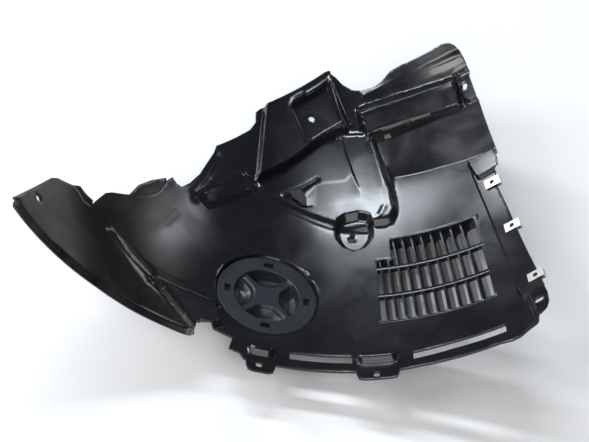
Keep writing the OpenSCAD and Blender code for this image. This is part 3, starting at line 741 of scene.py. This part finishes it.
def makeWear():
    # blotches, fine streaks and the dust toward the tail
    group = bpy.data.node_groups.new("wear", "ShaderNodeTree")
    group.interface.new_socket("Vector", in_out="INPUT", socket_type="NodeSocketVector")
    for name in ("Blotch", "Streak", "Dust", "Grain"):
        group.interface.new_socket(name, in_out="OUTPUT", socket_type="NodeSocketFloat")
    nodes, links = group.nodes, group.links
    start, end = nodes.new("NodeGroupInput"), nodes.new("NodeGroupOutput")
    fields = {"Blotch": ((1, 1, 1), 17, 6, .8, .4, .68), "Streak": ((1.5, 14, 14), 26, 3, .3, .62, .8),
              "Dust": ((1, 1, 1), 34, 8, .4, .4, .72), "Grain": ((1, 1, 1), 900, 2, 0, 0, 1)}
    made = {}
    for name, (stretch, scale, detail, twist, low, high) in fields.items():
        place = nodes.new("ShaderNodeMapping")
        place.inputs["Scale"].default_value = stretch
        place.inputs["Rotation"].default_value = (0, 0, .5)
        links.new(start.outputs["Vector"], place.inputs["Vector"])
        noise = nodes.new("ShaderNodeTexNoise")
        noise.inputs["Scale"].default_value = scale
        noise.inputs["Detail"].default_value = detail
        noise.inputs["Distortion"].default_value = twist
        links.new(place.outputs["Vector"], noise.inputs["Vector"])
        made[name] = ranged(nodes, links, noise.outputs["Fac"], low, high)
    split = nodes.new("ShaderNodeSeparateXYZ")
    links.new(start.outputs["Vector"], split.inputs["Vector"])
    far = ranged(nodes, links, split.outputs["X"], -.08, -.24)
    both = nodes.new("ShaderNodeMath")
    both.operation = "MULTIPLY"
    links.new(made["Dust"], both.inputs[0])
    links.new(far, both.inputs[1])
    made["Dust"] = both.outputs["Value"]
    for name, socket in made.items():
        links.new(socket, end.inputs[name])
    return group


wear = makeWear()


def plastic(name, colour, rough, grain, dust=0.0, spread=.11):
    mat = bpy.data.materials.new(name)
    mat.use_nodes = True
    p = mat.node_tree.nodes["Principled BSDF"]
    nodes, links = mat.node_tree.nodes, mat.node_tree.links
    at = nodes.new("ShaderNodeTexCoord")
    worn = groupNode(nodes, wear)
    links.new(at.outputs["Object"], worn.inputs["Vector"])
    tint = nodes.new("ShaderNodeMix")
    tint.data_type = "RGBA"
    tint.inputs["A"].default_value = (*colour, 1)
    tint.inputs["B"].default_value = (.044, .033, .024, 1)
    links.new(ranged(nodes, links, worn.outputs["Dust"], 0, 1, (0, dust)), tint.inputs["Factor"])
    pale = nodes.new("ShaderNodeMix")
    pale.data_type = "RGBA"
    pale.inputs["B"].default_value = (.09, .095, .105, 1)
    links.new(ranged(nodes, links, worn.outputs["Streak"], 0, 1, (0, .16)), pale.inputs["Factor"])
    links.new(tint.outputs["Result"], pale.inputs["A"])
    links.new(pale.outputs["Result"], p.inputs["Base Color"])
    links.new(ranged(nodes, links, worn.outputs["Blotch"], 0, 1, (rough, rough + spread)), p.inputs["Roughness"])
    bump = nodes.new("ShaderNodeBump")
    bump.inputs["Strength"].default_value = grain
    bump.inputs["Distance"].default_value = .0003
    links.new(worn.outputs["Grain"], bump.inputs["Height"])
    links.new(bump.outputs["Normal"], p.inputs["Normal"])
    return mat


black = plastic("linerPlastic", (.0065, .007, .0085), .16, .05, .75)
blue = plastic("coverPlastic", (.0125, .015, .0205), .32, .3)
zinc = plastic("clipMetal", (.55, .54, .5), .35, .1)
zinc.node_tree.nodes["Principled BSDF"].inputs["Metallic"].default_value = .8
dark = plastic("clipPlastic", (.006, .006, .006), .18, .1)


def dress(obj, mat):
    obj.data.materials.clear()
    obj.data.materials.append(mat)


dress(moulding, black)
dress(vents, black)
for obj in hangers:
    dress(obj, black)
dress(lid, blue)
dress(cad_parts["spring_clips"], zinc)
dress(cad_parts["edge_clip"], dark)

# stage
camera = {"at": (-50, -956.1, 582.8), "down": 0.65, "f": 1327.4, "pixels": 589}
bpy.ops.object.select_all(action="DESELECT")
bpy.ops.mesh.primitive_plane_add(size=30, location=(0, 0, 0))
floor = bpy.context.object
floor.name = "floor"
paper = bpy.data.materials.new("paper")
paper.use_nodes = True
pp = paper.node_tree.nodes["Principled BSDF"]
pp.inputs["Base Color"].default_value = (.84, .84, .845, 1)
pp.inputs["Roughness"].default_value = .9
pp.inputs["Specular IOR Level"].default_value = .1
floor.data.materials.append(paper)

sight = restTurn @ np.array([0, math.cos(camera["down"]), -math.sin(camera["down"])])
upward = restTurn @ np.array([0, math.sin(camera["down"]), math.cos(camera["down"])])
side = restTurn @ np.array([1, 0, 0])
view = bpy.data.cameras.new("view")
view.sensor_width = 36
view.lens = camera["f"] / camera["pixels"] * 36
view.clip_start, view.clip_end = .05, 60
eye = bpy.data.objects.new("view", view)
bpy.context.scene.collection.objects.link(eye)
turned = Matrix(np.stack([side, upward, -sight], -1).tolist())
eye.matrix_world = Matrix.Translation(Vector(settled(camera["at"]))) @ turned.to_4x4()
bpy.context.scene.camera = eye
print("camera looks", [round(float(x), 3) for x in sight])


def lamp(name, at, aim, size, power, colour=(1, 1, 1), spin=0):
    data = bpy.data.lights.new(name, "AREA")
    data.shape = "RECTANGLE"
    data.size, data.size_y = size
    data.energy = power
    data.color = colour
    obj = bpy.data.objects.new(name, data)
    obj.location = at
    obj.rotation_mode = "QUATERNION"
    facing = (Vector(aim) - Vector(at)).to_track_quat("-Z", "Y")
    obj.rotation_quaternion = facing @ Matrix.Rotation(math.radians(spin), 4, "Z").to_quaternion()
    bpy.context.scene.collection.objects.link(obj)
    return obj


# a long softbox behind and to the left gives the bands of light, the others light the paper
# place, aim, size, power, colour, spin
lamps = {
    "band": ((-1.95, 2.07, 3.0), (-1.95, 2.07, 0), (4.2, .42), 165, (.86, .93, 1), -7.7),
    "spark": ((-2.9, 2.0, 1.95), (.15, .05, .15), (.5, .5), 34, (.9, .95, 1)),
    "left": ((1.95, 2.0, 1.7), (.05, 0, .1), (.35, .9), 5, (.92, .96, 1)),
    "key": ((-2.9, -.3, 2.4), (0, 0, 0), (1.4, 1.4), 56),
    "fill": ((-.3, -2.9, 2.8), (.1, 0, 0), (3.2, 3.2), 98),
}
for name, values in lamps.items():
    lamp(name, *values)
world = bpy.data.worlds.new("room")
bpy.context.scene.world = world
world.use_nodes = True
world.node_tree.nodes["Background"].inputs["Color"].default_value = (.95, .97, 1, 1)
world.node_tree.nodes["Background"].inputs["Strength"].default_value = .075
scene = bpy.context.scene
scene.view_settings.view_transform = "Standard"

bpy.context.view_layer.update()
